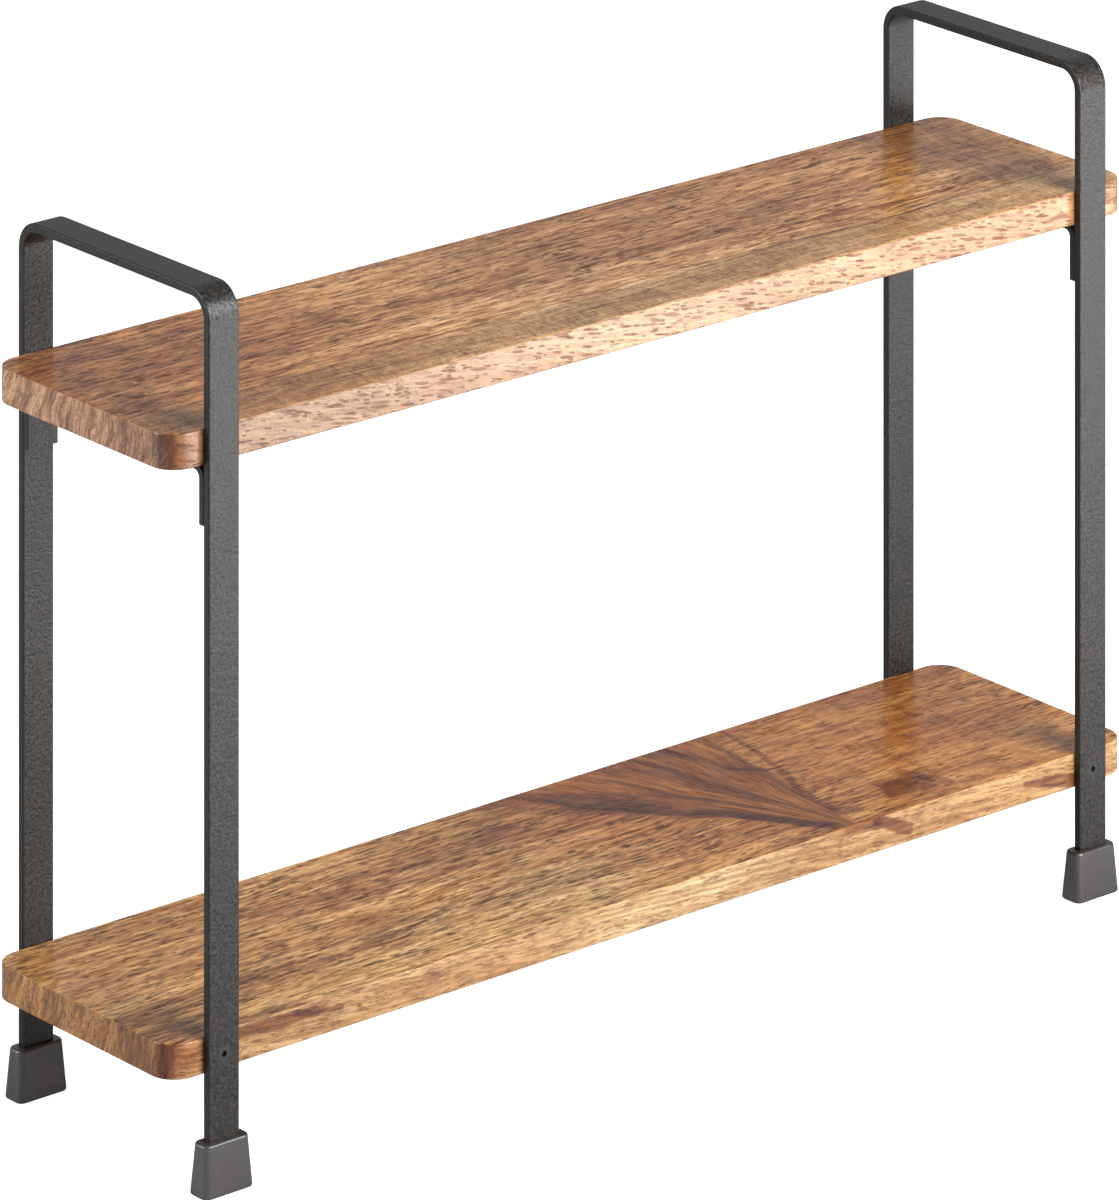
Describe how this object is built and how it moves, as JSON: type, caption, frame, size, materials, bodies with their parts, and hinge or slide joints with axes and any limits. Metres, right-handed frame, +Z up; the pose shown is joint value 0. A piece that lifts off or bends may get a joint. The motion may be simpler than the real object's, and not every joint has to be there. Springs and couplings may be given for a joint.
{
  "type": "desk hutch",
  "caption": "Low free-standing desk shelf: wood boards between bent flat-bar end frames that rise as carrying rails, on tapered rubber feet.",
  "frame": {"origin": "on the surface the hutch stands on, below the middle of the boards", "axes": "+X along the boards to the right, +Y from the front to the back, +Z up"},
  "size_m": [0.543, 0.14, 0.372],
  "materials": {
    "board_wood": "clear satin lacquer on figured hardwood, dark open pores along the grain",
    "frame_powder_coat": "charcoal fine-texture powder coat",
    "foot_rubber": "smooth moulded, semi-matt",
    "screw_painted": "black, satin",
    "screw_black_zinc": "black zinc, satin"
  },
  "bodies": {
    "root": {"upper_board": "board_wood", "lower_board": "board_wood", "left_frame": "frame_powder_coat", "right_frame": "frame_powder_coat", "bracket_left_front": "frame_powder_coat", "foot_left_front": "foot_rubber", "bracket_left_back": "frame_powder_coat", "foot_left_back": "foot_rubber", "bracket_right_front": "frame_powder_coat", "foot_right_front": "foot_rubber", "bracket_right_back": "frame_powder_coat", "foot_right_back": "foot_rubber", "upper_board_screws": "screw_black_zinc", "lower_board_screws": "screw_painted"}
  },
  "joints": []
}
